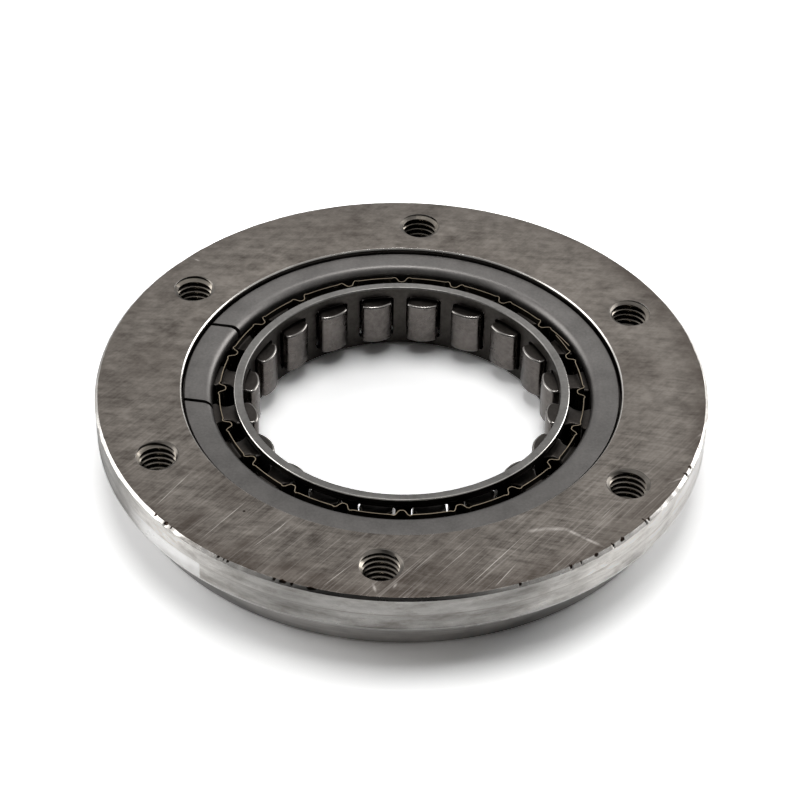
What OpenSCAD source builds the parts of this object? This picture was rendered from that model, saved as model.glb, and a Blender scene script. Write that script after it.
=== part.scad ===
// One-way starter clutch: a bolted carrier ring whose bore is the outer race, and a sprag unit
// of two cages, a ribbon spring and rocking sprags that sits in it.
// The bore axis is Z, the back face lies on z = 0 and the mounting face looks up.
// A bolt hole lies on +Y, and angles count from +X.

/* [Carrier ring] */
// Width of the ring, from the outer race to the rim
ring_w = 20; // [19:0.5:24]
// Height from the back face to the mounting face
carrier_h = 15.5; // [15:0.25:18]
// Height of the straight band under the mounting face
band_h = 7.6; // [4:0.1:12]
// How far the bevel under the band runs in, on each side
bevel_in = 4.3; // [2:0.1:4.5]
// Chamfer round the mounting face
rim_chamfer = 0.5; // [0.2:0.1:1]
// Chamfer round the back face
back_chamfer = 0.4; // [0.2:0.1:1]

/* [Bolt holes] */
// Number of tapped holes
bolt_count = 6; // [3:1:8]
// Distance of the bolt circle from the rim
bolt_edge = 8.3; // [8.1:0.1:9]
// Drilled diameter of a tapped hole, before the thread
tap_drill_d = 6.8; // [5:0.1:6.8]
// Diameter of the countersunk mouth of a tapped hole
hole_mouth_d = 8.3; // [7.2:0.1:9]

/* [Races] */
// Diameter of the hub that the clutch takes
hub_d = 55.8; // [52:0.1:62]
// Radial space for the sprags, from the hub to the outer race in the carrier's bore
sprag_space = 9.6; // [9.3:0.1:9.9]
// Chamfer at each end of the outer race
race_chamfer = 0.6; // [0.4:0.1:1]

/* [Outer cage] */
// Thickness of the cage sheet
cage_t = 1.7; // [1.2:0.1:1.8]
// Width of the flange, from the cage wall to its rim
flange_w = 3.55; // [2.5:0.05:4.5]
// Depth of the flange face below the mounting face
flange_sink = 0.9; // [0.2:0.1:1.2]
// Radius of the bend between flange and wall, on its outside
bend_r = 1.7; // [1.6:0.1:2.2]
// Width of the drag tab, between the middles of the parallel slits at its ends
tab_w = 22.7; // [21.5:0.1:24]
// Width of the slits
slit_w = 0.8; // [0.4:0.1:1]
// Chamfer on the edge of the carrier's recess
recess_chamfer = 0.25; // [0.2:0.05:0.6]

/* [Inner cage] */
// Thickness of the inner cage's wall
inner_cage_t = 1.2; // [0.8:0.1:1.4]
// Depth of the lip below the mounting face
lip_sink = 1; // [0.5:0.1:1.4]
// How far the lip stands out from the wall
lip_out = 0.5; // [0.2:0.1:0.9]
// Height of the lip
lip_h = 1.4; // [0.8:0.1:1.6]

/* [Ribbon spring] */
// Thickness of the ribbon
ribbon_t = 0.25; // [0.2:0.05:0.35]
// How far a bump stands in from the ribbon
bump_h = 1.15; // [0.8:0.05:1.25]
// Radius of a bump
bump_r = 1.2; // [0.9:0.05:1.35]
// Height of the rail above and below the windows
rail_h = 1.3; // [0.9:0.1:1.5]

/* [Sprags] */
// Number of sprags
sprag_count = 20; // [16:1:20]
// Angle of the first sprag
first_sprag_angle = 13.2; // [0:0.1:18]
// Length of a sprag along the bore
sprag_len = 8.75; // [7.5:0.05:8.8]
// Depth of the sprags below the mounting face
sprag_sink = 3.75; // [3.7:0.05:4.2]
// Width of a sprag across its flanks
sprag_w = 6; // [5.4:0.1:6.1]
// Width of a sprag at its waist
waist_w = 4.2; // [3.4:0.1:4.8]
// Radius of the outer cam
cam_out_r = 4.2; // [4:0.1:4.4]
// Radius of the inner cam
cam_in_r = 5.4; // [5:0.1:6]
// Lean of the free sprags, nose first
sprag_lean = 5; // [2:0.5:6]
// Sideways offset of the inner cam's centre
cam_offset = 0.8; // [0.5:0.05:1]
// How far the free sprags stand inside the hub's surface
sprag_proud = 0.7; // [0.3:0.05:0.8]
// Corner radius between inner cam and flanks
nose_r = 0.9; // [0.5:0.05:1.3]
// Chamfer at the ends of the cams
cam_chamfer = 0.4; // [0.2:0.05:0.6]

/* [Clearances] */
// Radial running gap between outer cage and race
cage_gap = 0.1; // [0.05:0.01:0.15]
// Radial gap between outer cam and race
cam_gap = 0.15; // [0.1:0.01:0.25]
// Radial gap round the flange in the recess
recess_gap = 0.4; // [0.2:0.05:0.6]
// Axial gap under the flange
seat_gap = 0.1; // [0.05:0.01:0.2]
// Radial gap between hub and inner cage
hub_gap = 2; // [1.7:0.05:2.2]
// Radial gap between outer cage and ribbon
ribbon_gap = 1.2; // [1:0.05:1.3]
// Gap at each side of a sprag in an inner cage window
inner_window_gap = 0.45; // [0.4:0.05:0.6]
// How far the inner cage's windows stand ahead of the free sprags, on the side they lean to
window_lead = 0.1; // [0:0.05:0.15]
// Gap at each side of a sprag in an outer cage window
outer_window_gap = 0.8; // [0.7:0.05:1]
// Gap at each side of a sprag in a ribbon window
ribbon_window_gap = 0.8; // [0.7:0.05:0.85]
// Gap over a sprag in the windows
window_top_gap = 0.45; // [0.3:0.05:0.6]
// Gap under a sprag in the windows
window_foot_gap = 0.25; // [0.2:0.05:0.4]
// Height of the cages' feet above the back face
foot_gap = 0.6; // [0.3:0.1:1.5]
// Corner radius of the windows
window_corner = 0.6; // [0.3:0.1:1]

/* [Hidden] */
$fn = 96;
overcut = 1;
hub_r = hub_d / 2;
race_r = hub_r + sprag_space;
carrier_r = race_r + ring_w;
back_r = carrier_r - bevel_in;
bolt_circle_r = carrier_r - bolt_edge;

// Outer cage
flange_z = carrier_h - flange_sink;
seat_z = flange_z - cage_t - seat_gap;
cage_out_r = race_r - cage_gap;
cage_in_r = cage_out_r - cage_t;
flange_r = cage_out_r + flange_w;
recess_r = flange_r + recess_gap;

// Inner cage
inner_cage_in_r = hub_r + hub_gap;
inner_cage_out_r = inner_cage_in_r + inner_cage_t;
lip_z = carrier_h - lip_sink;
lip_edge = inner_cage_t / 4;

// Sprags and their windows
pitch = 360 / sprag_count;
sprag_top_z = carrier_h - sprag_sink;
sprag_foot_z = sprag_top_z - sprag_len;
window_h = sprag_len + window_top_gap + window_foot_gap;
window_mid_z = sprag_top_z + window_top_gap - window_h / 2;
pivot_r = race_r - cam_gap - cam_out_r;
sprag_rest_r = hub_r - sprag_proud;
cam_in_x = sqrt(pow(sprag_rest_r + cam_in_r, 2) - pow(cam_offset, 2));
waist_cut_r = 2.2;
corner_cut = 3 * nose_r;

// The drag tab takes up about two sprag pitches, and its slits run into the windows there
tab_angle = sprag_angle(9) - 0.6;

// Ribbon spring, with its ends lapped over one window
ribbon_out_r = cage_in_r - ribbon_gap;
ribbon_in_r = ribbon_out_r - ribbon_t;
bump_mid_r = ribbon_in_r - bump_h + bump_r;
ribbon_h = window_h + 2 * rail_h;
lap_bump = 2;
lap_from = 2;
lap_to = 6.5;
tail_angle = 13;
tail_rise = 0.75;
tail_offset = tail_rise / sin(tail_angle);

function sprag_name(i) = str("sprag_", i < 9 ? "0" : "", i + 1);
function sprag_angle(i) = first_sprag_angle + i * pitch;
function bump_angle(i) = sprag_angle(i) - pitch / 2;

// Rectangle with round corners, centred
module rounded_rectangle(w, h, r) {
    square([w - 2 * r, h], center = true);
    square([w, h - 2 * r], center = true);
    for (side = [-1, 1], end = [-1, 1])
        translate([side * (w / 2 - r), end * (h / 2 - r)])
            circle(r = r);
}

// Cutter for the row of windows that the sprags stand in, each turned to follow the sprag's lean,
// or to stand ahead of it
module window_row(from_r, to_r, w, lead = 0) {
    mid_r = (from_r + to_r) / 2;
    lean_turn = asin(((pivot_r - mid_r) * sin(sprag_lean) + lead) / mid_r);
    for (i = [0:sprag_count - 1])
        rotate([0, 0, sprag_angle(i) + lean_turn])
            translate([from_r, 0, window_mid_z])
                rotate([90, 0, 90])
                    linear_extrude(height = to_r - from_r)
                        rounded_rectangle(w, window_h, window_corner);
}

// Flat ring
module annulus(out_r, in_r) {
    difference() {
        circle(r = out_r);
        circle(r = in_r);
    }
}

// Pie slice between two angles, reaching past the given radius
module slice(from, to, r) {
    reach = r / cos((to - from) / 2) + overcut;
    polygon([[0, 0], reach * [cos(from), sin(from)], reach * [cos(to), sin(to)]]);
}

// Through hole with a countersunk mouth in the mounting face
module bolt_hole() {
    mouth_depth = (hole_mouth_d - tap_drill_d) / 2;
    translate([0, 0, -overcut])
        cylinder(d = tap_drill_d, h = carrier_h + 2 * overcut);
    translate([0, 0, carrier_h - mouth_depth])
        cylinder(d1 = tap_drill_d, d2 = hole_mouth_d + 2 * overcut, h = mouth_depth + overcut);
}

module carrier() {
    color("#8b847c")
        difference() {
            rotate_extrude()
                polygon([
                    [race_r + race_chamfer, 0],
                    [back_r - back_chamfer, 0],
                    [back_r, back_chamfer],
                    [carrier_r, carrier_h - band_h],
                    [carrier_r, carrier_h - rim_chamfer],
                    [carrier_r - rim_chamfer, carrier_h],
                    [recess_r + recess_chamfer, carrier_h],
                    [recess_r, carrier_h - recess_chamfer],
                    [recess_r, seat_z],
                    [race_r + race_chamfer, seat_z],
                    [race_r, seat_z - race_chamfer],
                    [race_r, race_chamfer],
                ]);
            for (i = [0:bolt_count - 1])
                rotate([0, 0, 90 + i * 360 / bolt_count])
                    translate([bolt_circle_r, 0, 0])
                        bolt_hole();
        }
}

// Section of the outer cage: a wall turned out into a flange round a bend
module outer_cage_section() {
    difference() {
        union() {
            translate([cage_in_r, foot_gap])
                square([cage_t, flange_z - foot_gap]);
            translate([cage_in_r, flange_z - cage_t])
                square([flange_r - cage_in_r, cage_t]);
        }
        difference() {
            translate([cage_in_r - overcut, flange_z - bend_r])
                square([bend_r + overcut, bend_r + overcut]);
            translate([cage_in_r + bend_r, flange_z - bend_r])
                circle(r = bend_r);
        }
    }
}

module outer_cage() {
    color("#6e6e6d")
        difference() {
            rotate_extrude()
                outer_cage_section();
            window_row(cage_in_r - overcut, cage_out_r + overcut, sprag_w + 2 * outer_window_gap);
            for (end = [-1, 1])
                rotate([0, 0, tab_angle])
                    translate([cage_in_r * cos(pitch) - overcut, (end * tab_w - slit_w) / 2, window_mid_z])
                        cube([flange_r, slit_w, flange_z]);
        }
}

// Plan of the ribbon: a ring with a hollow bump between each two sprags and one open lap
module ribbon_plan() {
    lap_angle = bump_angle(lap_bump);
    difference() {
        union() {
            difference() {
                annulus(ribbon_out_r, ribbon_in_r);
                slice(lap_angle - lap_to, lap_angle - lap_from, ribbon_out_r);
            }
            intersection() {
                circle(r = ribbon_out_r);
                for (i = [0:sprag_count - 1])
                    rotate(bump_angle(i))
                        translate([bump_mid_r, 0])
                            circle(r = bump_r);
            }
        }
        for (i = [0:sprag_count - 1])
            rotate(bump_angle(i))
                translate([bump_mid_r, 0])
                    circle(r = bump_r - ribbon_t);
    }
    intersection() {
        rotate(lap_angle)
            translate([0, -tail_offset])
                annulus(ribbon_out_r, ribbon_in_r);
        slice(lap_angle - tail_angle, lap_angle - lap_from, cage_in_r);
    }
}

module ribbon_spring() {
    color("#c9b48c")
        difference() {
            translate([0, 0, window_mid_z - ribbon_h / 2])
                linear_extrude(height = ribbon_h)
                    ribbon_plan();
            window_row(bump_mid_r - bump_r, cage_in_r, sprag_w + 2 * ribbon_window_gap);
        }
}

module inner_cage() {
    color("#9b9894")
        difference() {
            rotate_extrude()
                polygon([
                    [inner_cage_in_r, foot_gap],
                    [inner_cage_out_r, foot_gap],
                    [inner_cage_out_r, lip_z - lip_h - lip_out],
                    [inner_cage_out_r + lip_out, lip_z - lip_h],
                    [inner_cage_out_r + lip_out, lip_z - lip_edge],
                    [inner_cage_out_r + lip_out - lip_edge, lip_z],
                    [inner_cage_in_r + lip_edge, lip_z],
                    [inner_cage_in_r, lip_z - lip_edge],
                ]);
            window_row(inner_cage_in_r - overcut, inner_cage_out_r + lip_out + overcut,
                       sprag_w + 2 * inner_window_gap, window_lead);
        }
}

// Disc with chamfered rims, as long as a sprag: the body that a cam is cut from
module cam_disc(r) {
    rotate_extrude()
        polygon([
            [0, 0],
            [r - cam_chamfer, 0],
            [r, cam_chamfer],
            [r, sprag_len - cam_chamfer],
            [r - cam_chamfer, sprag_len],
            [0, sprag_len],
        ]);
}

// Slab between a sprag's flanks, from its nose past the rocking centre, with a round corner
// where each flank runs into the inner cam
module nose_slab() {
    cam_mid = [cam_in_x, cam_offset];
    difference() {
        translate([sprag_rest_r - overcut, -sprag_w / 2])
            square([pivot_r - sprag_rest_r + 2 * overcut, sprag_w]);
        for (side = [-1, 1]) {
            corner_y = side * (sprag_w / 2 - nose_r);
            corner_x = cam_in_x - sqrt(pow(cam_in_r - nose_r, 2) - pow(corner_y - cam_offset, 2));
            corner = [corner_x, corner_y];
            difference() {
                polygon([
                    corner,
                    corner + corner_cut * [0, side],
                    corner + corner_cut * (corner - cam_mid) / (cam_in_r - nose_r),
                ]);
                translate(corner)
                    circle(r = nose_r);
            }
        }
    }
}

// A sprag before it leans: two offset cams joined at the rocking centre of the outer one
module sprag_body() {
    difference() {
        union() {
            intersection() {
                translate([cam_in_x, cam_offset, 0])
                    cam_disc(cam_in_r);
                linear_extrude(height = sprag_len)
                    nose_slab();
            }
            intersection() {
                translate([pivot_r, 0, 0])
                    cam_disc(cam_out_r);
                translate([pivot_r, -sprag_w / 2, 0])
                    cube([cam_out_r + overcut, sprag_w, sprag_len]);
            }
        }
        for (side = [-1, 1])
            translate([pivot_r, side * (waist_w / 2 + waist_cut_r), -overcut])
                cylinder(r = waist_cut_r, h = sprag_len + 2 * overcut);
    }
}

// One sprag in its free position, leaning about its rocking centre
module sprag(angle) {
    color("#57534e")
        rotate([0, 0, angle])
            translate([pivot_r, 0, sprag_foot_z])
                rotate([0, 0, -sprag_lean])
                    translate([-pivot_r, 0, 0])
                        sprag_body();
}

carrier();
outer_cage();
ribbon_spring();
inner_cage();
for (i = [0:sprag_count - 1])
    sprag(sprag_angle(i));
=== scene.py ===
import bpy, bmesh
from math import asin, atan2, cos, degrees, exp, hypot, pi, radians, sin, sqrt
from mathutils import Matrix, Vector, noise


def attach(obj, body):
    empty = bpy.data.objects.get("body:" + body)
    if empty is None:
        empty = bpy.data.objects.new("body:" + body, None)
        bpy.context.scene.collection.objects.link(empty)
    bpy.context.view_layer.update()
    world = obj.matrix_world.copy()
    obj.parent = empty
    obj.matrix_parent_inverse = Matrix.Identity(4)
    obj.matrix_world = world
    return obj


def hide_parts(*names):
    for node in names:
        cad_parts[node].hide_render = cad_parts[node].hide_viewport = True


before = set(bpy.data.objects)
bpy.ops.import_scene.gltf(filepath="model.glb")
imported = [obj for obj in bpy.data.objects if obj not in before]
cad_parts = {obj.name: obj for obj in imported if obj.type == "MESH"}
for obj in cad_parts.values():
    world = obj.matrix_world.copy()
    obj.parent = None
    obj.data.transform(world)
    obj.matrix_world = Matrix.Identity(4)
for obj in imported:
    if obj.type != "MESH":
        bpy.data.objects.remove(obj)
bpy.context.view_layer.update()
mm = 0.001
print("frame loaded")


# camera: fitted to the picture, square frame
cameraSet = dict(target=(0, 0, 15.5), azimuth=3.57, elevation=40.62, roll=-1.027,
                 distance=463.97, slideX=-0.293, slideY=-3.45, lens=111.06, sensor=36, nearest=0.01)

def addCamera(spec):
    a, e, roll = (radians(spec[k]) for k in ("azimuth", "elevation", "roll"))
    back = Vector((sin(a) * cos(e), -cos(a) * cos(e), sin(e)))
    right = Vector((cos(a), sin(a), 0))
    up = back.cross(right)
    spot = Vector(spec["target"]) + back * spec["distance"] + right * spec["slideX"] + up * spec["slideY"]
    tiltedRight = right * cos(roll) - up * sin(roll)
    tiltedUp = right * sin(roll) + up * cos(roll)
    data = bpy.data.cameras.new("camera")
    data.lens = spec["lens"]
    data.sensor_width = spec["sensor"]
    data.clip_start = spec["nearest"]
    camera = bpy.data.objects.new("camera", data)
    bpy.context.collection.objects.link(camera)
    turn = Matrix((tiltedRight, tiltedUp, back)).transposed().to_4x4()
    camera.matrix_world = Matrix.Translation(spot * mm) @ turn
    bpy.context.scene.camera = camera

addCamera(cameraSet)
print("camera placed")


# node helpers: inputs are given by name, with _ for a space, or as i0, i1
def addNode(tree, kind, settings=None, **inputs):
    node = tree.nodes.new("ShaderNode" + kind)
    for key, value in (settings or {}).items():
        setattr(node, key, value)
    for key, value in inputs.items():
        socket = node.inputs[int(key[1:])] if key[1:].isdigit() else node.inputs[key.replace("_", " ")]
        if isinstance(value, bpy.types.NodeSocket):
            tree.links.new(value, socket)
        else:
            socket.default_value = value
    return node

def newMaterial(name):
    material = bpy.data.materials.new(name)
    material.use_nodes = True
    tree = material.node_tree
    tree.nodes.clear()
    place = addNode(tree, "TexCoord").outputs["Object"]
    return material, tree, place

def mathOf(tree, operation, a, b=0.0):
    return addNode(tree, "Math", {"operation": operation}, i0=a, i1=b).outputs[0]

def spread(tree, value, low, high, outLow=0.0, outHigh=1.0):
    return addNode(tree, "MapRange", {"clamp": True}, Value=value, From_Min=low, From_Max=high,
                   To_Min=outLow, To_Max=outHigh).outputs[0]

def blendColour(tree, amount, a, b, way="MIX"):
    node = addNode(tree, "Mix", {"data_type": "RGBA", "blend_type": way})
    for socket, value in ((node.inputs[0], amount), (node.inputs[6], a), (node.inputs[7], b)):
        if isinstance(value, bpy.types.NodeSocket):
            tree.links.new(value, socket)
        else:
            socket.default_value = value
    return node.outputs[2]

# noise drawn out along one direction: turn in degrees about Z, long and wide in mm
def streaks(tree, place, turn, long, wide, detail=3.0, shift=0.0):
    turned = addNode(tree, "Mapping", {"vector_type": "TEXTURE"}, Vector=place,
                     Rotation=(0, 0, radians(turn)), Scale=(long * mm, wide * mm, mm))
    moved = addNode(tree, "VectorMath", {"operation": "ADD"}, i0=turned.outputs[0],
                    i1=(shift, shift * 0.7, shift)).outputs[0]
    return addNode(tree, "TexNoise", Vector=moved, Scale=1.0, Detail=detail, Roughness=0.6).outputs[0]

# noise drawn out round the ring: wide and high in mm
def bands(tree, place, wide, high, detail, roughness=0.5):
    squashed = addNode(tree, "Mapping", {"vector_type": "TEXTURE"}, Vector=place,
                       Scale=(wide * mm, wide * mm, high * mm)).outputs[0]
    return addNode(tree, "TexNoise", Vector=squashed, Scale=1.0, Detail=detail, Roughness=roughness).outputs[0]

def mottle(tree, place, size, detail=4.0, roughness=0.6):
    return addNode(tree, "TexNoise", Vector=place, Scale=1 / (size * mm), Detail=detail,
                   Roughness=roughness).outputs[0]

# change between two places in mm
def along(tree, value, start, end, low=0.0, high=1.0):
    return spread(tree, value, start * mm, end * mm, low, high)

# two patterns in one, the first with the given share
def mixed(tree, first, share, second):
    return mathOf(tree, "ADD", mathOf(tree, "MULTIPLY", first, share), mathOf(tree, "MULTIPLY", second, 1 - share))

# soft-edged stroke on the face: middle in mm, turn in degrees, long and wide in mm
def stroke(tree, place, x, y, turn, long, wide, core=0.5):
    local = addNode(tree, "Mapping", {"vector_type": "TEXTURE"}, Vector=place, Location=(x * mm, y * mm, 0),
                    Rotation=(0, 0, radians(turn)), Scale=(long / 2 * mm, wide / 2 * mm, 1))
    away = addNode(tree, "VectorMath", {"operation": "LENGTH"}, i0=local.outputs[0]).outputs["Value"]
    return spread(tree, away, core, 1.0, 1.0, 0.0)

def greyOf(tree, level):
    return addNode(tree, "CombineColor", Red=level, Green=level, Blue=level).outputs[0]

# painted light and shade: brightness changed between two places along Y, in mm
def paintLightAlongY(tree, place, colour, start, end, levels):
    ahead = addNode(tree, "SeparateXYZ", Vector=place).outputs[1]
    paintedLight = greyOf(tree, along(tree, ahead, start, end, *levels))
    return blendColour(tree, 1.0, colour, paintedLight, "MULTIPLY")

def finishMaterial(material, tree, colour, roughness, height, bumpStrength, bumpDepth):
    shader = addNode(tree, "BsdfPrincipled", Metallic=1.0, Base_Color=colour, Roughness=roughness)
    bump = addNode(tree, "Bump", Strength=bumpStrength, Distance=bumpDepth * mm, Height=height)
    tree.links.new(bump.outputs[0], shader.inputs["Normal"])
    out = addNode(tree, "OutputMaterial")
    tree.links.new(shader.outputs[0], out.inputs[0])
    return material


# ground steel of the mounting face: diagonal grinding lines, stains and handling scratches
groundSteel = dict(
    dark=(0.068, 0.058, 0.05, 1), light=(0.222, 0.2, 0.178, 1), stain=(0.06, 0.047, 0.039, 1),
    scratch=(0.6, 0.56, 0.52, 1), chip=(0.024, 0.017, 0.013, 1), worn=(0.42, 0.4, 0.375, 1),
    lineTurn=56, crossTurn=-8, fineShare=0.26, broadShare=0.12, crossShare=(0.12, 0.26), blotchShare=0.28,
    clouds=((8, 5, 0.6, 0.24), (2.6, 6, 0.7, 0.26)), contrast=0.11, stainDepth=0.45, softDepth=0.75,
    rimR=57.5, stripWide=6.5, stripEnd=0.9, stripDepth=0.8, hairDepth=0.2, roughness=(0.32, 0.46),
    pit=(-25.2, -37.9, 0, 0.7, 0.7))
# scratches: middle in mm, turn in degrees, long and wide in mm
faceScratches = (
    (19.8, -46.6, 56, 19.4, 0.2), (7.6, -47.5, 56, 8.3, 0.16), (12.9, -46.6, 55, 13, 0.16),
    (21.6, -49.9, 60, 7.6, 0.2), (-7.1, -52.2, 52, 9.2, 0.16), (-18.4, -41.5, 59, 4.7, 0.16),
    (-38.5, -33.3, 62, 12.7, 0.16), (-28.3, -40.2, 57, 14.6, 0.18), (-20.1, -43.6, 52, 10.1, 0.16),
    (26.7, -38.1, 16, 4.4, 1.1), (29.8, -37.6, 5, 5, 1.2), (32.9, -38.2, -30, 4.6, 1.0),
    (36.1, -40.1, -29, 6, 0.9), (-0.7, -54.9, -72, 2.6, 0.7), (2.8, -54.1, 65, 1.6, 0.6),
    (-43.4, 33.8, -23, 1.5, 0.5), (38.7, -33, 58, 3.9, 0.16), (28.8, -28.5, 60, 7.4, 0.16),
    (51.6, -22.7, 34, 5, 0.5), (56, -10, 43, 2.3, 0.6))
hairWide = 0.3  # narrower scratches are sharp, wider ones soft

# soft stains: middle in mm, turn in degrees, long and wide in mm
faceStains = ((-16.4, -51.6, 12, 16, 6), (-11.5, -53.2, 4, 11, 4), (-34.5, -41.5, 50, 13, 5),
              (3.5, -52.6, 2, 12, 3.6), (-24, -46, 40, 9, 4.5), (-4, -50, 20, 8, 3))

def makeGroundSteel(spec, scratches, softStains):
    material, tree, place = newMaterial("groundSteel")
    lineTurn = spec["lineTurn"]
    fine = streaks(tree, place, lineTurn, 7, 0.3, 3)
    broad = streaks(tree, place, lineTurn - 3, 15, 0.8, 3, 5)
    cross = streaks(tree, place, spec["crossTurn"], 6, 0.35, 3, 9)
    blotch = streaks(tree, place, 4, 3.6, 1.3, 5, 13)
    hairs = streaks(tree, place, lineTurn - 1, 16, 0.24, 1, 21)
    sides = addNode(tree, "SeparateXYZ", Vector=place).outputs
    right = along(tree, sides[0], -10, 40, *spec["crossShare"])
    front = along(tree, sides[1], 12, -34, 0.32, 1.0)

    def around(value, weight):
        return mathOf(tree, "MULTIPLY", mathOf(tree, "SUBTRACT", value, 0.5), weight)

    def both(operation, *values):
        made = values[0]
        for value in values[1:]:
            made = mathOf(tree, operation, made, value)
        return made

    # the lines fade towards the back, where the face is cloudy
    lines = both("ADD", around(fine, spec["fineShare"]), around(broad, spec["broadShare"]), around(cross, right))
    clouds = [around(mottle(tree, place, size, detail, rough), share) for size, detail, rough, share in spec["clouds"]]
    # the face is painted a little lighter to the right and towards the back and darker to the front: painted light and
    # shade
    tone = both("ADD", both("MULTIPLY", lines, front), around(blotch, spec["blotchShare"]), *clouds,
                along(tree, sides[0], 0, 45, 0.0, 0.04), along(tree, sides[1], -50, 50, -0.01, 0.015))
    contrast = spec["contrast"]
    colour = blendColour(tree, spread(tree, tone, -contrast, contrast), spec["dark"], spec["light"])
    stains = spread(tree, mottle(tree, place, 18, 5), 0.5, 0.72, 0.0, spec["stainDepth"])
    for one in softStains:
        stains = both("MAXIMUM", stains, both("MULTIPLY", stroke(tree, place, *one, 0.0), spec["softDepth"]))
    # a dark strip along the rim, weaker at the back and on the left
    flat = addNode(tree, "VectorMath", {"operation": "MULTIPLY"}, i0=place, i1=(1, 1, 0)).outputs[0]
    reach = addNode(tree, "VectorMath", {"operation": "LENGTH"}, i0=flat).outputs["Value"]
    strip = along(tree, reach, spec["rimR"] - spec["stripWide"], spec["rimR"] - spec["stripEnd"],
                  0.0, spec["stripDepth"])
    patchy = spread(tree, mottle(tree, place, 5, 5), 0.32, 0.62, 0.35, 1.0)
    handled = both("MAXIMUM", along(tree, sides[1], -30, -48, 0.3, 1.0), along(tree, sides[0], 10, 42, 0.0, 0.9))
    stains = both("MAXIMUM", stains, both("MULTIPLY", strip, patchy, handled))
    colour = blendColour(tree, stains, colour, spec["stain"])
    # hair lines, handling scratches and one pit
    hair = both("MULTIPLY", spread(tree, hairs, 0.58, 0.74, 0.0, spec["hairDepth"]), spread(tree, front, 0.5, 1.0),
                along(tree, sides[0], -40, 10, 0.4, 1.0))
    marks = both("MAXIMUM", *(stroke(tree, place, *one, 0.5 if one[-1] < hairWide else 0.0) for one in scratches))
    marks = both("MULTIPLY", marks, spread(tree, fine, 0.3, 0.65, 0.2, 0.75))
    colour = blendColour(tree, both("MAXIMUM", hair, marks), colour, spec["scratch"])
    colour = blendColour(tree, stroke(tree, place, *spec["pit"]), colour, spec["chip"])
    for name in ("worn", "chip"):
        amount = addNode(tree, "Attribute", {"attribute_name": name}).outputs["Fac"]
        colour = blendColour(tree, spread(tree, amount, 0.15, 0.4), colour, spec[name])
    height = mathOf(tree, "ADD", fine, mathOf(tree, "MULTIPLY", broad, 0.5))
    roughness = spread(tree, blotch, 0.3, 0.7, *spec["roughness"])
    return finishMaterial(material, tree, colour, roughness, height, 0.22, 0.02)


# turned steel of the band and chamfers: two turned passes, brown handling stains
turnedSteel = dict(dark=(0.38, 0.362, 0.338, 1), light=(0.85, 0.828, 0.794, 1), chip=(0.024, 0.017, 0.013, 1),
                   stain=(0.25, 0.215, 0.18, 1), paintedReflection=(0.97, 0.965, 0.955, 1), passZ=11.6, passHalf=0.12,
                   patchFrom=215, patchTo=236, rough=(0.15, 0.28))
# the chamfer copy is darkened to near black at the very front: painted shade
chamferSteel = dict(turnedSteel, dark=(0.4, 0.38, 0.355, 1), light=(0.66, 0.64, 0.61, 1), rough=(0.2, 0.3),
                    paintedLight=(0.13, 1.0), paintedLightFrom=-56.5, paintedLightTo=-53)

def makeTurnedSteel(name, spec):
    material, tree, place = newMaterial(name)
    sides = addNode(tree, "SeparateXYZ", Vector=place).outputs
    clouds = bands(tree, place, 9, 2.5, 5, 0.6)
    rings = bands(tree, place, 30, 0.5, 3)
    upper = along(tree, sides[2], spec["passZ"] - spec["passHalf"], spec["passZ"] + spec["passHalf"])
    tone = mathOf(tree, "ADD", mixed(tree, rings, 0.12, clouds), mathOf(tree, "MULTIPLY", upper, 0.05))
    colour = blendColour(tree, spread(tree, tone, 0.34, 0.66), spec["dark"], spec["light"])
    brown = bands(tree, place, 5, 2, 6, 0.68)
    colour = blendColour(tree, spread(tree, brown, 0.5, 0.72, 0.0, 0.5), colour, spec["stain"])
    # a painted reflection: a near-white patch low on the band, ending sharply on one side
    angle = mathOf(tree, "ARCTAN2", sides[1], sides[0])
    start, end = radians(spec["patchFrom"] - 360), radians(spec["patchTo"] - 360)
    patch = mathOf(tree, "MULTIPLY", spread(tree, angle, start, start + 0.12),
                   spread(tree, angle, end, end + 0.006, 1.0, 0.0))
    patch = mathOf(tree, "MULTIPLY", patch, mathOf(tree, "SUBTRACT", 1.0, upper))
    patch = mathOf(tree, "MULTIPLY", patch, spread(tree, clouds, 0.3, 0.5, 0.45, 1.0))
    colour = blendColour(tree, patch, colour, spec["paintedReflection"])
    # a dark line where the two passes meet: painted shade of a fine groove
    away = mathOf(tree, "ABSOLUTE", mathOf(tree, "SUBTRACT", sides[2], spec["passZ"] * mm))
    grooveShade = mathOf(tree, "MULTIPLY", along(tree, away, 0.05, 0.16, 0.45, 0.0), spread(tree, clouds, 0.4, 0.6))
    colour = blendColour(tree, grooveShade, colour, spec["stain"])
    chips = addNode(tree, "Attribute", {"attribute_name": "chip"}).outputs["Fac"]
    colour = blendColour(tree, spread(tree, chips, 0.15, 0.4), colour, spec["chip"])
    if "paintedLight" in spec:
        colour = paintLightAlongY(tree, place, colour, spec["paintedLightFrom"], spec["paintedLightTo"], spec["paintedLight"])
    return finishMaterial(material, tree, colour, spread(tree, clouds, 0.3, 0.7, *spec["rough"]), rings, 0.06, 0.01)


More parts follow.
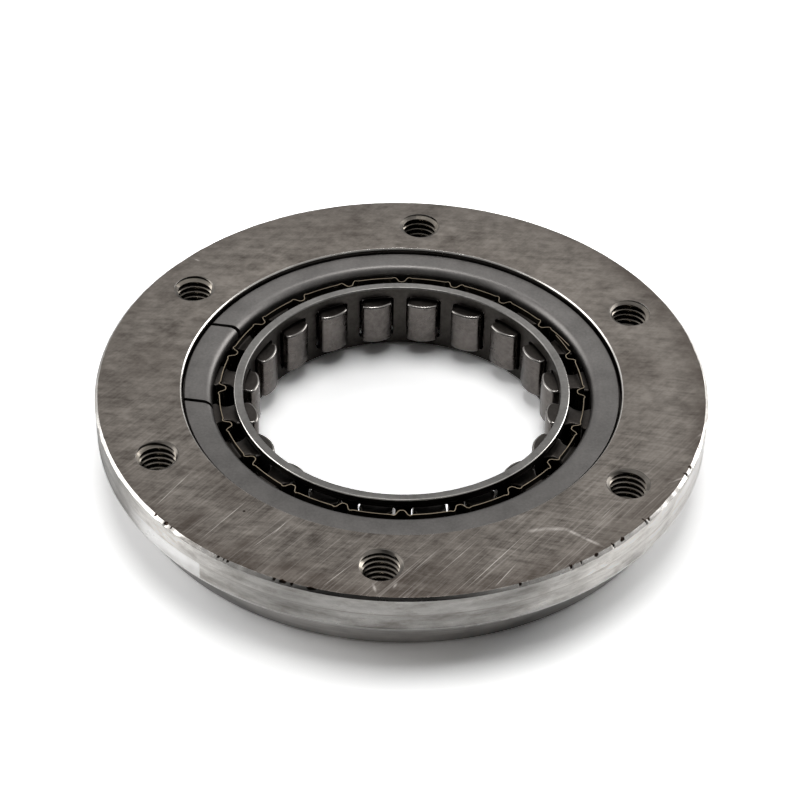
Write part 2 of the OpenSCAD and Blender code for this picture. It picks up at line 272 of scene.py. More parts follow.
# plain machined steel: bevel, back, bores and threads
machinedSteel = dict(
    # the bevel is painted lighter at the very front and darker round the sides and back: painted light and shade
    bevel=dict(dark=(0.38, 0.367, 0.352, 1), light=(0.54, 0.522, 0.503, 1), roughness=0.42, paintedLight=(1.75, 0.55)),
    # a near-white copy of the steel for the rounding under the band: painted highlight
    creaseHighlight=dict(dark=(0.78, 0.76, 0.73, 1), light=(0.95, 0.935, 0.91, 1), roughness=0.3),
    # the bores are made very dark: painted shade inside the holes and recesses
    bore=dict(dark=(0.05, 0.046, 0.042, 1), light=(0.11, 0.102, 0.095, 1), roughness=0.3),
    thread=dict(dark=(0.1, 0.089, 0.076, 1), light=(0.32, 0.289, 0.25, 1), roughness=0.18),
    mouth=dict(dark=(0.07, 0.063, 0.055, 1), light=(0.17, 0.155, 0.138, 1), roughness=0.32))

def makeMachinedSteel(name, spec):
    material, tree, place = newMaterial(name)
    rings = bands(tree, place, 25, 0.25, 3)
    patches = mottle(tree, place, 6)
    tone = mixed(tree, rings, 0.4, patches)
    colour = blendColour(tree, spread(tree, tone, 0.35, 0.65), spec["dark"], spec["light"])
    if "paintedLight" in spec:
        colour = paintLightAlongY(tree, place, colour, -55, -49, spec["paintedLight"])
    roughness = spread(tree, patches, 0.3, 0.7, spec["roughness"] - 0.06, spec["roughness"] + 0.06)
    return finishMaterial(material, tree, colour, roughness, rings, 0.1, 0.01)


# sheet and wire finishes of the sprag unit
unitFinishes = dict(
    # the outer cage sheet and the lip of the inner cage are darker to the front: painted shade
    outerCage=dict(dark=(0.132, 0.126, 0.121, 1), light=(0.186, 0.177, 0.17, 1), roughness=0.42, grain=0.5,
                   bump=0.12, paintedLight=(0.66, 1.0)),
    cageLip=dict(dark=(0.15, 0.145, 0.138, 1), light=(0.23, 0.223, 0.213, 1), roughness=0.32, grain=0.8,
                 bump=0.1, paintedLight=(0.7, 1.05)),
    # a near-black copy for the cage wall: painted shade between the sprags
    shadedCageWall=dict(dark=(0.04, 0.036, 0.032, 1), light=(0.074, 0.068, 0.062, 1), roughness=0.38, grain=0.8,
                  bump=0.1),
    springEdge=dict(dark=(0.17, 0.14, 0.102, 1), light=(0.34, 0.282, 0.206, 1), roughness=0.34, grain=1.5,
                    bump=0.05),
    # the spring's sides are near black, partly the dark spring steel and partly painted shade
    springSide=dict(dark=(0.035, 0.03, 0.024, 1), light=(0.08, 0.068, 0.052, 1), roughness=0.4, grain=1.5,
                    bump=0.05),
    sprag=dict(dark=(0.106, 0.096, 0.089, 1), light=(0.188, 0.171, 0.159, 1), roughness=0.26, grain=0.9,
               bump=0.06),
    # a lighter copy for the rounded nose edges: painted highlight
    spragEdgeHighlight=dict(dark=(0.17, 0.16, 0.15, 1), light=(0.3, 0.285, 0.27, 1), roughness=0.22, grain=0.9, bump=0.06),
    # a dark copy for the ends and outer body: painted shade
    shadedSpragEnd=dict(dark=(0.024, 0.021, 0.019, 1), light=(0.046, 0.041, 0.037, 1), roughness=0.34, grain=0.7,
                  bump=0.1))

def makeUnitSteel(name, spec):
    material, tree, place = newMaterial(name)
    fine = mottle(tree, place, spec["grain"], 3)
    broad = mottle(tree, place, spec["grain"] * 9, 4)
    tone = mixed(tree, fine, 0.45, broad)
    colour = blendColour(tree, spread(tree, tone, 0.35, 0.65), spec["dark"], spec["light"])
    if "paintedLight" in spec:
        colour = paintLightAlongY(tree, place, colour, -30, 30, spec["paintedLight"])
    rough = spread(tree, broad, 0.3, 0.7, spec["roughness"] - 0.05, spec["roughness"] + 0.07)
    return finishMaterial(material, tree, colour, rough, fine, spec["bump"], 0.015)

materials = dict(ground=makeGroundSteel(groundSteel, faceScratches, faceStains),
                 turned=makeTurnedSteel("turnedSteel", turnedSteel),
                 chamfer=makeTurnedSteel("chamferSteel", chamferSteel))
for makeSteel, finishes in ((makeMachinedSteel, machinedSteel), (makeUnitSteel, unitFinishes)):
    for finishName, finish in finishes.items():
        materials[finishName] = makeSteel(finishName + "Steel", finish)
print("materials made:", len(materials))


# mesh helpers
def ringOf(bm, corners, steps, segments=4):
    # corners: radius, height, rounding in mm; the rounded section is spun once round the bore
    verts = [bm.verts.new((r * mm, 0, z * mm)) for r, z, rounding in corners]
    bm.faces.new(verts)
    for vert, (r, z, rounding) in zip(verts, corners):
        if rounding:
            bmesh.ops.bevel(bm, geom=[vert], offset=rounding * mm, offset_type="OFFSET", segments=segments,
                            profile=0.5, affect="VERTICES", material=-1)
    bmesh.ops.delete(bm, geom=bm.faces[:], context="FACES_ONLY")
    bmesh.ops.spin(bm, geom=bm.verts[:] + bm.edges[:], cent=(0, 0, 0), axis=(0, 0, 1), dvec=(0, 0, 0),
                   angle=2 * pi, steps=steps, use_merge=True)
    bmesh.ops.remove_doubles(bm, verts=bm.verts[:], dist=1e-7)
    bmesh.ops.recalc_face_normals(bm, faces=bm.faces[:])

def pieceFrom(bm, name, *materialNames):
    mesh = bpy.data.meshes.new(name)
    bm.to_mesh(mesh)
    bm.free()
    for materialName in materialNames:
        mesh.materials.append(materials[materialName])
    piece = bpy.data.objects.new(name, mesh)
    bpy.context.collection.objects.link(piece)
    return piece

def cutBy(piece, cutterMesh):
    cutter = pieceFrom(cutterMesh, piece.name + "Cutter")
    modifier = piece.modifiers.new("cut", "BOOLEAN")
    modifier.operation = "DIFFERENCE"
    modifier.solver = "EXACT"
    modifier.object = cutter
    cut = bpy.data.meshes.new_from_object(piece.evaluated_get(bpy.context.evaluated_depsgraph_get()))
    piece.modifiers.clear()
    piece.data = cut
    bpy.data.objects.remove(cutter)

def smoothPiece(piece, angle=32):
    piece.data.polygons.foreach_set("use_smooth", [True] * len(piece.data.polygons))
    piece.data.set_sharp_from_angle(angle=radians(angle))

def mount(piece, body, node):
    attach(piece, body)
    if node:
        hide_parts(node)


# carrier ring with six tapped holes
carrierRing = dict(rimR=57.5, topZ=15.5, bandZ=7.9, backR=53.2, recessR=41.35, seatZ=12.8, raceR=37.5,
                   boltR=49.2, boltCount=6, boltStart=90, chamfer=0.5, footEdge=0.4, seatEdge=0.6, recessEdge=0.25,
                   bandRows=(1.6, 1.2, 0.9, 0.65, 0.45, 0.3, 0.15), faceRows=(0.12, 0.25, 0.38, 0.52, 0.7, 0.95, 1.3),
                   steps=1440)
tappedHole = dict(drillR=3.4, rootR=4.0, crestR=3.32, mouthR=4.03, pitch=1.25, fromZ=1.8, runout=0.6, flankHalf=0.547,
                  crestHalf=0.156, firstLift=0.3, mouthSlope=2.2, mouthDeep=0.5, topGap=0.03, stepsPerTurn=48, steps=72)
# worn places on the rim: ragged stretches (from, to, mm deep) and dark notches (angle, mm half long, mm deep)
rimWear = dict(
    share=0.55, leastDeep=0.03, fadeDegrees=3, reachR=2, reachZ=2.2, wornGain=6, chipGain=5, leastNotch=0.08,
    chipInset=0.12, notchShare=0.4,
    ragged=((216, 233, 0.22), (233, 262, 0.14), (292, 305, 0.14), (303, 352, 0.18), (352, 380, 0.12),
            (90, 216, 0.1)),
    notches=((224.6, 0.5, 0.45), (225.4, 0.3, 0.25), (227.5, 1.1, 0.34), (229.0, 0.5, 0.3), (240.3, 0.5, 0.3),
             (241.4, 0.3, 0.42), (242.4, 0.55, 0.26), (251.6, 0.5, 0.35), (253.2, 1.2, 0.32), (254.9, 0.7, 0.4),
             (258.6, 1.8, 0.2), (295.0, 0.6, 0.4), (305.1, 0.5, 0.5), (307.2, 0.25, 0.25), (310.6, 0.9, 0.3),
             (314.6, 0.3, 0.6), (315.4, 0.3, 0.3), (317.0, 1.1, 0.3), (323.2, 0.3, 0.95), (324.0, 0.8, 0.3),
             (338.3, 0.4, 0.5), (340.4, 0.8, 0.28), (346.2, 0.3, 0.4)))

def wearAt(angle, wear, rimR):
    # slow and quick unevenness along the rim
    spot = Vector((cos(radians(angle)), sin(radians(angle)), 0))
    slow = noise.noise(spot * 14) + 0.5 * noise.noise(spot * 33 + Vector((3, 1, 7)))
    quick = noise.noise(spot * 75 + Vector((9, 4, 2))) + 0.6 * noise.noise(spot * 210)
    depth = wear["leastDeep"]
    for start, end, deepest in wear["ragged"]:
        inside = max(min(angle - start, end - angle), min(angle + 360 - start, end - angle - 360))
        if inside > 0:
            depth = max(depth, deepest * min(1, inside / wear["fadeDegrees"]))
    notch = 0.0
    for middle, half, deepest in wear["notches"]:
        away = abs((angle - middle + 180) % 360 - 180) * radians(rimR) / (half * wear["share"])
        if away < 1:
            notch = max(notch, deepest * (1 - away ** 2) * max(0.3, 0.9 + 1.3 * quick))
    broad = depth * max(0, min(1, 0.4 + slow))
    return broad, broad + depth * max(0, quick) * 0.9, notch

def chipRim(piece, spec, wear):
    # a chip is a broader chamfer over a short stretch of the rim; small scuffs only show in the finish
    count = len(piece.data.vertices)
    worn, chip = [0.0] * count, [0.0] * count
    for vert in piece.data.vertices:
        x, y, z = (c / mm for c in vert.co)
        r = hypot(x, y)
        if r < spec["rimR"] - wear["reachR"] or z < spec["topZ"] - wear["reachZ"]:
            continue
        broad, scuff, notch = wearAt(degrees(atan2(y, x)) % 360, wear, spec["rimR"])
        edge = (r - spec["rimR"]) + (z - spec["topZ"]) + spec["chamfer"]
        worn[vert.index] = max(0, min(1, (edge + scuff) * wear["wornGain"]))
        if notch > wear["leastNotch"] and r < spec["rimR"] - wear["chipInset"]:
            chip[vert.index] = max(0, min(1, (edge + notch) * wear["chipGain"]))
        over = edge + max(broad, notch * wear["notchShare"])
        if over > 0.01:
            drop = over / 2
            vert.co = Vector((x * (r - drop) / r, y * (r - drop) / r, z - drop)) * mm
    for name, values in (("worn", worn), ("chip", chip)):
        piece.data.attributes.new(name, "FLOAT", "POINT").data.foreach_set("value", values)

def holeCutter(spec, hole):
    bm = bmesh.new()
    top = spec["topZ"]
    slope = hole["mouthR"] - hole["rootR"]
    # the cutter stands 1 mm out at both ends
    line = ((0, -1), (hole["drillR"], -1), (hole["drillR"], hole["fromZ"] - hole["runout"]),
            (hole["rootR"], hole["fromZ"]), (hole["rootR"], top - slope), (hole["mouthR"] + 1, top + 1), (0, top + 1))
    verts = [bm.verts.new((r * mm, 0, z * mm)) for r, z in line]
    for a, b in zip(verts, verts[1:]):
        bm.edges.new((a, b))
    bmesh.ops.spin(bm, geom=bm.verts[:] + bm.edges[:], cent=(0, 0, 0), axis=(0, 0, 1), dvec=(0, 0, 0),
                   angle=2 * pi, steps=hole["steps"], use_merge=True)
    bmesh.ops.remove_doubles(bm, verts=bm.verts[:], dist=1e-7)
    bmesh.ops.recalc_face_normals(bm, faces=bm.faces[:])
    bmesh.ops.translate(bm, verts=bm.verts[:], vec=(spec["boltR"] * mm, 0, 0))
    return repeatRound(bm, spec["boltCount"], spec["boltStart"])

def repeatRound(bm, count, start):
    bmesh.ops.rotate(bm, verts=bm.verts[:], cent=(0, 0, 0), matrix=Matrix.Rotation(radians(start), 3, "Z"))
    first = bm.verts[:] + bm.edges[:] + bm.faces[:]
    for i in range(1, count):
        copy = bmesh.ops.duplicate(bm, geom=first)["geom"]
        bmesh.ops.rotate(bm, verts=[g for g in copy if isinstance(g, bmesh.types.BMVert)], cent=(0, 0, 0),
                         matrix=Matrix.Rotation(2 * pi * i / count, 3, "Z"))
    return bm

def carrierZone(face, spec):
    # 0 ground face, 1 turned band, 2 bevel and back, 3 bores darkened as painted shade, 4 chamfers, 5 rounding under
    # the band with a painted highlight
    r, z = hypot(face.center.x, face.center.y) / mm, face.center.z / mm
    if z > spec["topZ"] - 0.01 and face.normal.z > 0.95:
        return 0
    if r > spec["rimR"] - 0.7 and z > spec["bandZ"] - 0.3:
        return 4 if face.normal.z > 0.2 else 5 if face.normal.z < -0.06 and z > spec["bandZ"] - 0.18 else 1
    if z > spec["topZ"] - 0.4 and r < spec["recessR"] + 0.5:
        return 4
    return 2 if r > spec["backR"] - 0.5 or face.normal.z < -0.9 and z < 0.1 else 3

def makeCarrier(spec, hole, wear):
    rim, top, chamfer = spec["rimR"], spec["topZ"], spec["chamfer"]
    race, back, recess, seat = spec["raceR"], spec["backR"], spec["recessR"], spec["seatZ"]
    corners = [(race + spec["seatEdge"], 0, 0), (back - spec["footEdge"], 0, 0), (back, spec["footEdge"], 0.1),
               (rim, spec["bandZ"], 0.3)]
    # close rows beside the chamfer carry the wear
    corners += [(rim, top - chamfer - depth, 0) for depth in spec["bandRows"]]
    corners += [(rim, top - chamfer, 0.06), (rim - chamfer, top, 0.06)]
    corners += [(rim - chamfer - depth, top, 0) for depth in spec["faceRows"]]
    corners += [(recess + spec["recessEdge"], top, 0.05), (recess, top - spec["recessEdge"], 0.05), (recess, seat, 0.1),
                (race + spec["seatEdge"], seat, 0), (race, seat - spec["seatEdge"], 0), (race, spec["seatEdge"], 0)]
    bm = bmesh.new()
    ringOf(bm, corners, spec["steps"], 2)
    piece = pieceFrom(bm, "carrierRing", "ground", "turned", "bevel", "bore", "chamfer", "creaseHighlight")
    cutBy(piece, holeCutter(spec, hole))
    for face in piece.data.polygons:
        face.material_index = carrierZone(face, spec)
    chipRim(piece, spec, wear)
    smoothPiece(piece)
    mount(piece, "carrier", "carrier")

def makeThreads(spec, hole):
    bm = bmesh.new()
    top, pitch = spec["topZ"], hole["pitch"]
    base, crest = hole["rootR"] + 0.03, hole["crestR"]
    flank, flat = hole["flankHalf"], hole["crestHalf"]
    ridge = ((base, -flank), (crest, -flat), (crest, flat), (base, flank))
    verts = [bm.verts.new((r * mm, 0, (z + hole["fromZ"] + hole["firstLift"]) * mm)) for r, z in ridge]
    edges = [bm.edges.new((a, b)) for a, b in zip(verts, verts[1:] + verts[:1])]
    steps = int((top - hole["fromZ"] + 0.6) / pitch * hole["stepsPerTurn"])
    bmesh.ops.spin(bm, geom=verts + edges, cent=(0, 0, 0), axis=(0, 0, 1),
                   dvec=(0, 0, pitch / hole["stepsPerTurn"] * mm), angle=2 * pi * steps / hole["stepsPerTurn"],
                   steps=steps, use_merge=False)
    for vert in bm.verts:
        # the broken edge of the mouth takes the crests away
        r = hypot(vert.co.x, vert.co.y) / mm
        cone = hole["mouthR"] - (top - vert.co.z / mm) * hole["mouthSlope"]
        if r < cone:
            reach = min(cone, hole["rootR"] + 0.02) / r
            vert.co.x *= reach
            vert.co.y *= reach
    bmesh.ops.bisect_plane(bm, geom=bm.verts[:] + bm.edges[:] + bm.faces[:],
                           plane_co=(0, 0, (top - hole["topGap"]) * mm), plane_no=(0, 0, 1), clear_outer=True)
    bmesh.ops.holes_fill(bm, edges=[e for e in bm.edges if e.is_boundary], sides=0)
    bmesh.ops.remove_doubles(bm, verts=bm.verts[:], dist=1e-7)
    bmesh.ops.recalc_face_normals(bm, faces=bm.faces[:])
    bmesh.ops.translate(bm, verts=bm.verts[:], vec=(spec["boltR"] * mm, 0, 0))
    piece = pieceFrom(repeatRound(bm, spec["boltCount"], spec["boltStart"]), "boltThreads", "thread", "mouth")
    for face in piece.data.polygons:
        face.material_index = int(face.center.z > (top - hole["mouthDeep"]) * mm)
    smoothPiece(piece, 25)
    mount(piece, "carrier", None)

makeCarrier(carrierRing, tappedHole, rimWear)
makeThreads(carrierRing, tappedHole)
print("carrier and threads made")


# window row shared by the cages and the spring
spragRow = dict(count=20, start=13.2, midZ=7.475, high=9.45, corner=0.6, pivotR=33.15, lean=5)

def windowCutter(fromR, toR, wide, row, lead=0.0):
    bm = bmesh.new()
    bmesh.ops.create_cube(bm, size=1)
    bmesh.ops.scale(bm, verts=bm.verts[:], vec=((toR - fromR) * mm, wide * mm, row["high"] * mm))
    radial = [e for e in bm.edges if abs(e.verts[0].co.x - e.verts[1].co.x) > mm * 0.1]
    bmesh.ops.bevel(bm, geom=radial, offset=row["corner"] * mm, offset_type="OFFSET", segments=5, profile=0.5,
                    affect="EDGES", material=-1)
    bmesh.ops.translate(bm, verts=bm.verts[:], vec=((fromR + toR) / 2 * mm, 0, row["midZ"] * mm))
    # the windows follow the lean of the sprags, or stand ahead of it
    midR = (fromR + toR) / 2
    leanTurn = degrees(asin(((row["pivotR"] - midR) * sin(radians(row["lean"])) + lead) / midR))
    return repeatRound(bm, row["count"], row["start"] + leanTurn)


# outer cage: wall, bend and flange, with two parallel slits at the ends of the drag tab
outerCage = dict(inR=35.7, outR=37.4, flangeR=40.95, footZ=0.6, flangeZ=14.6, sheet=1.7, bend=1.7, window=7.6,
                 slitWide=0.8, slitLong=9.5, slitHigh=9, slitMidR=37.7, tabWide=22.7, tabAngle=174.6, steps=480)

def makeOuterCage(spec, row):
    bm = bmesh.new()
    under = spec["flangeZ"] - spec["sheet"]
    ringOf(bm, [(spec["inR"], spec["footZ"], 0.15), (spec["outR"], spec["footZ"], 0.15), (spec["outR"], under, 0),
                (spec["flangeR"], under, 0.2), (spec["flangeR"], spec["flangeZ"], 0.3),
                (spec["inR"], spec["flangeZ"], spec["bend"])], spec["steps"], 10)
    piece = pieceFrom(bm, "outerCageSheet", "outerCage")
    cutBy(piece, windowCutter(spec["inR"] - 1, spec["outR"] + 1, spec["window"], row))
    slit = bmesh.new()
    for side in (-1, 1):
        made = bmesh.ops.create_cube(slit, size=1)["verts"]
        bmesh.ops.scale(slit, verts=made, vec=Vector((spec["slitLong"], spec["slitWide"], spec["slitHigh"])) * mm)
        bmesh.ops.translate(slit, verts=made, vec=Vector((spec["slitMidR"], side * spec["tabWide"] / 2,
                                                          row["midZ"] + spec["slitHigh"] / 2)) * mm)
    bmesh.ops.rotate(slit, verts=slit.verts[:], cent=(0, 0, 0),
                     matrix=Matrix.Rotation(radians(spec["tabAngle"]), 3, "Z"))
    cutBy(piece, slit)
    smoothPiece(piece)
    mount(piece, "outer_cage", "outer_cage")

makeOuterCage(outerCage, spragRow)


# ribbon spring: a thin strip with hat-shaped bumps and lapped ends
ribbonSpring = dict(midR=34.375, thick=0.14, footZ=1.45, topZ=13.5, window=7.6, firstBump=4.2, bumpHigh=1.15,
                    bumpHalf=0.85, bumpsFrom=9, flare=0.22, flareAt=1.75, flareHalf=0.35, lapAt=40.2, lapEnd=6.5,
                    tailAngle=13, tailLift=3.334, cutFrom=33.1, cutTo=35.7, stepsPerDegree=5)

def makeRibbon(spec, row):
    bm = bmesh.new()
    low, high = (bm.verts.new((spec["midR"] * mm, 0, z * mm)) for z in (spec["footZ"], spec["topZ"]))
    edge = bm.edges.new((low, high))
    start = spec["lapAt"] - spec["tailAngle"]
    sweep = 360 - spec["lapEnd"] + spec["tailAngle"]
    steps = int(sweep * spec["stepsPerDegree"])
    bmesh.ops.spin(bm, geom=[low, high, edge], cent=(0, 0, 0), axis=(0, 0, 1), dvec=(0, 0, 0),
                   angle=radians(sweep), steps=steps, use_merge=False)
    bm.verts.ensure_lookup_table()
    pitch = 360 / row["count"]
    for i, vert in enumerate(bm.verts):
        angle = sweep * (i // 2) / steps
        behind = spec["tailAngle"] - angle
        lift = spec["tailLift"] * sin(radians(behind)) if behind > 0 else 0
        r = spec["midR"] + lift
        if angle > spec["bumpsFrom"]:
            past = ((angle + start - spec["firstBump"] + pitch / 2) % pitch - pitch / 2) * radians(spec["midR"])
            shoulder = abs(past) - spec["bumpHalf"] * spec["flareAt"]
            r -= spec["bumpHigh"] * exp(-(past / spec["bumpHalf"]) ** 4)
            r += spec["flare"] * exp(-(shoulder / spec["flareHalf"]) ** 2)
        vert.co.x = r * mm * cos(radians(angle))
        vert.co.y = r * mm * sin(radians(angle))
    bmesh.ops.rotate(bm, verts=bm.verts[:], cent=(0, 0, 0), matrix=Matrix.Rotation(radians(start), 3, "Z"))
    bmesh.ops.recalc_face_normals(bm, faces=bm.faces[:])
    bmesh.ops.solidify(bm, geom=bm.faces[:], thickness=spec["thick"] * mm)
    bmesh.ops.recalc_face_normals(bm, faces=bm.faces[:])
    piece = pieceFrom(bm, "ribbonStrip", "springSide", "springEdge")
    cutBy(piece, windowCutter(spec["cutFrom"], spec["cutTo"], spec["window"], row))
    for face in piece.data.polygons:
        face.material_index = int(abs(face.normal.z) > 0.7)
    smoothPiece(piece)
    mount(piece, "outer_cage", "ribbon_spring")

makeRibbon(ribbonSpring, spragRow)


# inner cage: a wall with a lip
innerCage = dict(inR=29.9, outR=31.1, lipR=31.6, footZ=0.6, lipZ=14.5, lipHigh=1.4, neck=0.5, window=6.9, lead=0.1,
                 steps=480)

def makeInnerCage(spec, row):
    bm = bmesh.new()
    under = spec["lipZ"] - spec["lipHigh"]
    ringOf(bm, [(spec["inR"], spec["footZ"], 0.15), (spec["outR"], spec["footZ"], 0.15),
                (spec["outR"], under - spec["neck"], 0.2), (spec["lipR"], under, 0.2),
                (spec["lipR"], spec["lipZ"], 0.25), (spec["inR"], spec["lipZ"], 0.3)], spec["steps"], 4)
    piece = pieceFrom(bm, "innerCageRing", "shadedCageWall", "cageLip", "turned")
    cutBy(piece, windowCutter(spec["inR"] - 1, spec["lipR"] + 1, spec["window"], row, spec["lead"]))
    for face in piece.data.polygons:
        # wall darkened as painted shade, satin lip, outer edge of the lip in the bright turned finish as a painted
        # highlight
        up = face.center.z / mm - spec["lipZ"]
        outward = hypot(face.center.x, face.center.y) / mm - spec["lipR"]
        face.material_index = 0 if up < -0.35 else 2 if outward > -0.25 and -0.25 < up < -0.02 else 1
    smoothPiece(piece)
    mount(piece, "inner_cage", "inner_cage")

makeInnerCage(innerCage, spragRow)
print("cages and spring made")


# sprags: two offset cams with a waist between them, drawn in plan and extruded
spragCam = dict(wide=6.0, long=8.75, footZ=3, outR=4.2, inMid=(32.59, 0.8), inR=5.4, noseR=0.9,
                waistR=2.2, waistHalf=2.1, edge=0.38, brightR=30.4)

def arcOf(bm, start, centre, angle, steps):
    # spins a vertex into a chain of edges and gives the last vertex
    made = bmesh.ops.spin(bm, geom=[start], cent=(centre[0] * mm, centre[1] * mm, 0), axis=(0, 0, 1),
                          dvec=(0, 0, 0), angle=angle, steps=steps, use_merge=False)
    return [g for g in made["geom_last"] if isinstance(g, bmesh.types.BMVert)][0]

def makeSprag(spec, row, index):
    bm = bmesh.new()
    half = spec["wide"] / 2
    mid, noseR = spec["inMid"], spec["noseR"]
    pivot = row["pivotR"]
    waistY = spec["waistHalf"] + spec["waistR"]
    waistX = sqrt(spec["waistR"] ** 2 - (waistY - half) ** 2)
    waistTurn = 2 * atan2(waistX, waistY - half)
    camTurn = 2 * atan2(half, sqrt(spec["outR"] ** 2 - half ** 2))
    noses = {}
    for side in (-1, 1):
        y = side * (half - noseR)
        noses[side] = (mid[0] - sqrt((spec["inR"] - noseR) ** 2 - (y - mid[1]) ** 2), y)
    start = bm.verts.new((noses[-1][0] * mm, -half * mm, 0))

    def lineTo(last, x, y):
        vert = bm.verts.new((x * mm, y * mm, 0))
        bm.edges.new((last, vert))
        return vert

    # out along one flank, round the outer cam, back along the other and over the nose
    last = lineTo(start, pivot - waistX, -half)
    last = arcOf(bm, last, (pivot, -waistY), -waistTurn, 8)
    last = lineTo(last, pivot + sqrt(spec["outR"] ** 2 - half ** 2), -half)
    last = arcOf(bm, last, (pivot, 0), camTurn, 14)
    last = lineTo(last, pivot + waistX, half)
    last = arcOf(bm, last, (pivot, waistY), -waistTurn, 8)
    last = lineTo(last, noses[1][0], half)
    upper = atan2(noses[1][1] - mid[1], noses[1][0] - mid[0]) % (2 * pi)
    lower = atan2(noses[-1][1] - mid[1], noses[-1][0] - mid[0]) % (2 * pi)
    last = arcOf(bm, last, noses[1], upper - pi / 2, 5)
    last = arcOf(bm, last, mid, lower - upper, 12)
    last = arcOf(bm, last, noses[-1], 1.5 * pi - lower, 5)
    bmesh.ops.remove_doubles(bm, verts=bm.verts[:], dist=1e-6)
    face = bmesh.ops.contextual_create(bm, geom=bm.edges[:])["faces"][0]
    raised = bmesh.ops.extrude_face_region(bm, geom=[face])["geom"]
    bmesh.ops.translate(bm, verts=[g for g in raised if isinstance(g, bmesh.types.BMVert)],
                        vec=(0, 0, spec["long"] * mm))
    bmesh.ops.recalc_face_normals(bm, faces=bm.faces[:])
    ends = [e for e in bm.edges if abs(e.verts[0].co.z - e.verts[1].co.z) < 1e-6]
    bmesh.ops.bevel(bm, geom=ends, offset=spec["edge"] * mm, offset_type="OFFSET", segments=4, profile=0.5,
                    affect="EDGES", material=-1, clamp_overlap=True)
    bmesh.ops.translate(bm, verts=bm.verts[:], vec=(0, 0, spec["footZ"] * mm))
    bmesh.ops.rotate(bm, verts=bm.verts[:], cent=(pivot * mm, 0, 0),
                     matrix=Matrix.Rotation(-radians(row["lean"]), 3, "Z"))
    turn = radians(row["start"] + 360 / row["count"] * index)
    bmesh.ops.rotate(bm, verts=bm.verts[:], cent=(0, 0, 0), matrix=Matrix.Rotation(turn, 3, "Z"))
    name = "sprag_%02d" % (index + 1)
    piece = pieceFrom(bm, "spragCam_%02d" % (index + 1), "sprag", "shadedSpragEnd", "spragEdgeHighlight")
    for face in piece.data.polygons:
        # the ends and the outer body take a dark copy as painted shade, the rounded nose edges a lighter copy as
        # painted highlight
        flat, nose = abs(face.normal.z), hypot(face.center.x, face.center.y) / mm < spec["brightR"]
        face.material_index = 1 if flat > 0.99 or not nose else 2 if flat > 0.1 else 0
    smoothPiece(piece)
    mount(piece, name, name)

for spragIndex in range(spragRow["count"]):
    makeSprag(spragCam, spragRow, spragIndex)
print("sprags made:", spragRow["count"])


# floor, studio lights and white surroundings
# lamps: name, place in m, size in m, power in W, in diffuse light, in reflections
studio = dict(floorR=0.3, floorTone=0.93, seenGain=2.08, fill=0.06, sideTone=1.5, frontTone=0.66, leftTone=0.45,
              frontFrom=-46, frontTo=-61, leftFrom=(-35, -38), leftTo=(-55, -22),
              lamps=(("leftBox", (-0.64, 0.1, 0.34), 0.5, 2.5, True, True),
                     ("rightBox", (0.54, 0.38, 0.26), 0.45, 2.7, True, True),
                     ("topBox", (0.0, 0.25, 1.0), 0.58, 4.3, True, False),
                     ("topGlint", (0.0, 0.25, 0.95), 0.15, 2.0, False, True)),
              sky=((0.0, 0.15), (0.2, 0.2), (0.5, 0.7), (0.75, 0.95), (1.0, 1.0)))

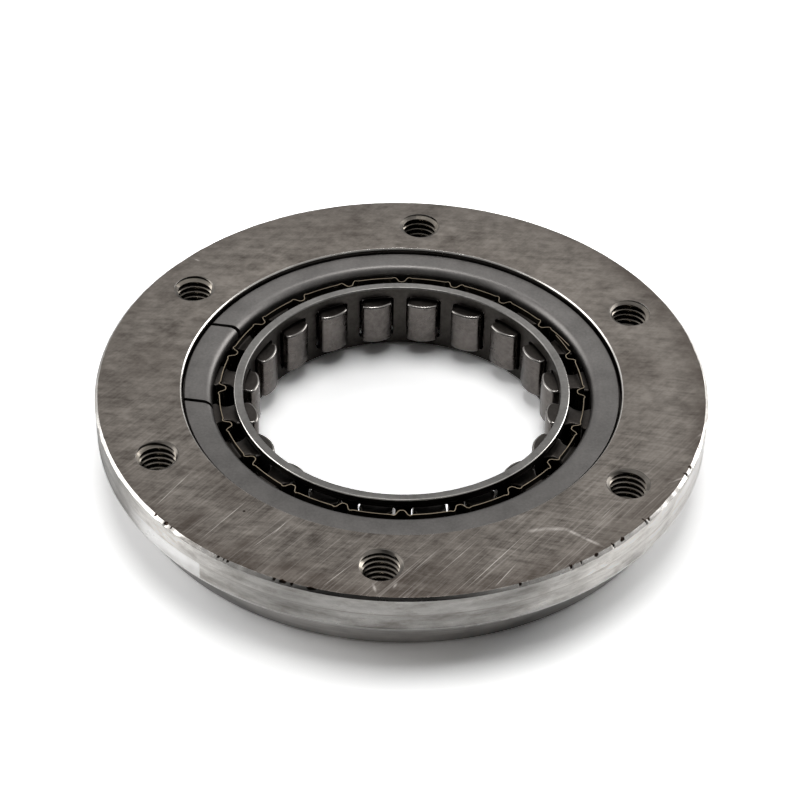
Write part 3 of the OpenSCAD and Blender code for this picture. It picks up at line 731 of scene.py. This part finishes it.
def makeStudio(spec):
    # the floor is a white sheet to the eye; in reflections it carries painted light and shade, brighter to the sides
    # and back, greyer to the front and on the left
    material, tree, place = newMaterial("paleFloor")
    path = addNode(tree, "LightPath")
    sides = addNode(tree, "SeparateXYZ", Vector=place).outputs
    mirrored = along(tree, sides[1], spec["frontFrom"], spec["frontTo"], spec["sideTone"], spec["frontTone"])
    left = mathOf(tree, "MULTIPLY", *(along(tree, sides[i], spec["leftFrom"][i], spec["leftTo"][i]) for i in (0, 1)))
    mirrored = mathOf(tree, "MULTIPLY", mirrored, spread(tree, left, 0.0, 1.0, 1.0, spec["leftTone"]))
    seen = spread(tree, path.outputs["Is Camera Ray"], 0, 1, 1.0, spec["seenGain"])
    tone = addNode(tree, "Mix", {"data_type": "FLOAT"}, i0=path.outputs["Is Glossy Ray"], i2=seen,
                   i3=mirrored).outputs[0]
    grey = greyOf(tree, mathOf(tree, "MULTIPLY", tone, spec["floorTone"]))
    shader = addNode(tree, "BsdfDiffuse", Color=grey)
    out = addNode(tree, "OutputMaterial")
    tree.links.new(shader.outputs[0], out.inputs[0])
    materials["floor"] = material
    bm = bmesh.new()
    bmesh.ops.create_circle(bm, cap_ends=True, segments=96, radius=spec["floorR"])
    floor = pieceFrom(bm, "floor", "floor")
    for name, spot, size, power, scattered, mirrored in spec["lamps"]:
        lamp = bpy.data.lights.new(name, "AREA")
        lamp.size = size
        lamp.energy = power
        holder = bpy.data.objects.new(name, lamp)
        holder.location = spot
        holder.visible_diffuse = scattered
        holder.visible_glossy = mirrored
        holder.rotation_euler = Vector(spot).to_track_quat("Z", "Y").to_euler()
        bpy.context.collection.objects.link(holder)
    world = bpy.data.worlds.new("studio")
    world.use_nodes = True
    tree = world.node_tree
    tree.nodes.clear()
    path = addNode(tree, "LightPath")
    towards = addNode(tree, "SeparateXYZ", Vector=addNode(tree, "TexCoord").outputs["Generated"]).outputs[1]
    ramp = addNode(tree, "ValToRGB", Fac=spread(tree, towards, -1.0, 1.0))
    stops = ramp.color_ramp.elements
    while len(stops) < len(spec["sky"]):
        stops.new(0.5)
    for stop, (at, level) in zip(stops, spec["sky"]):
        stop.position = at
        stop.color = (level, level, level, 1)
    backdrop = addNode(tree, "Background", Color=ramp.outputs[0], Strength=1.0)
    white = addNode(tree, "Background", Color=(1, 1, 1, 1), Strength=1.0)
    fill = addNode(tree, "Background", Color=(1, 1, 1, 1), Strength=spec["fill"])
    mirrored = mathOf(tree, "MAXIMUM", path.outputs["Is Glossy Ray"], path.outputs["Is Transmission Ray"])
    lit = addNode(tree, "MixShader", i0=mirrored, i1=fill.outputs[0], i2=backdrop.outputs[0])
    both = addNode(tree, "MixShader", i0=path.outputs["Is Camera Ray"], i1=lit.outputs[0], i2=white.outputs[0])
    out = addNode(tree, "OutputWorld")
    tree.links.new(both.outputs[0], out.inputs[0])
    bpy.context.scene.world = world

makeStudio(studio)
bpy.context.scene.view_settings.view_transform = "Standard"
print("studio set")
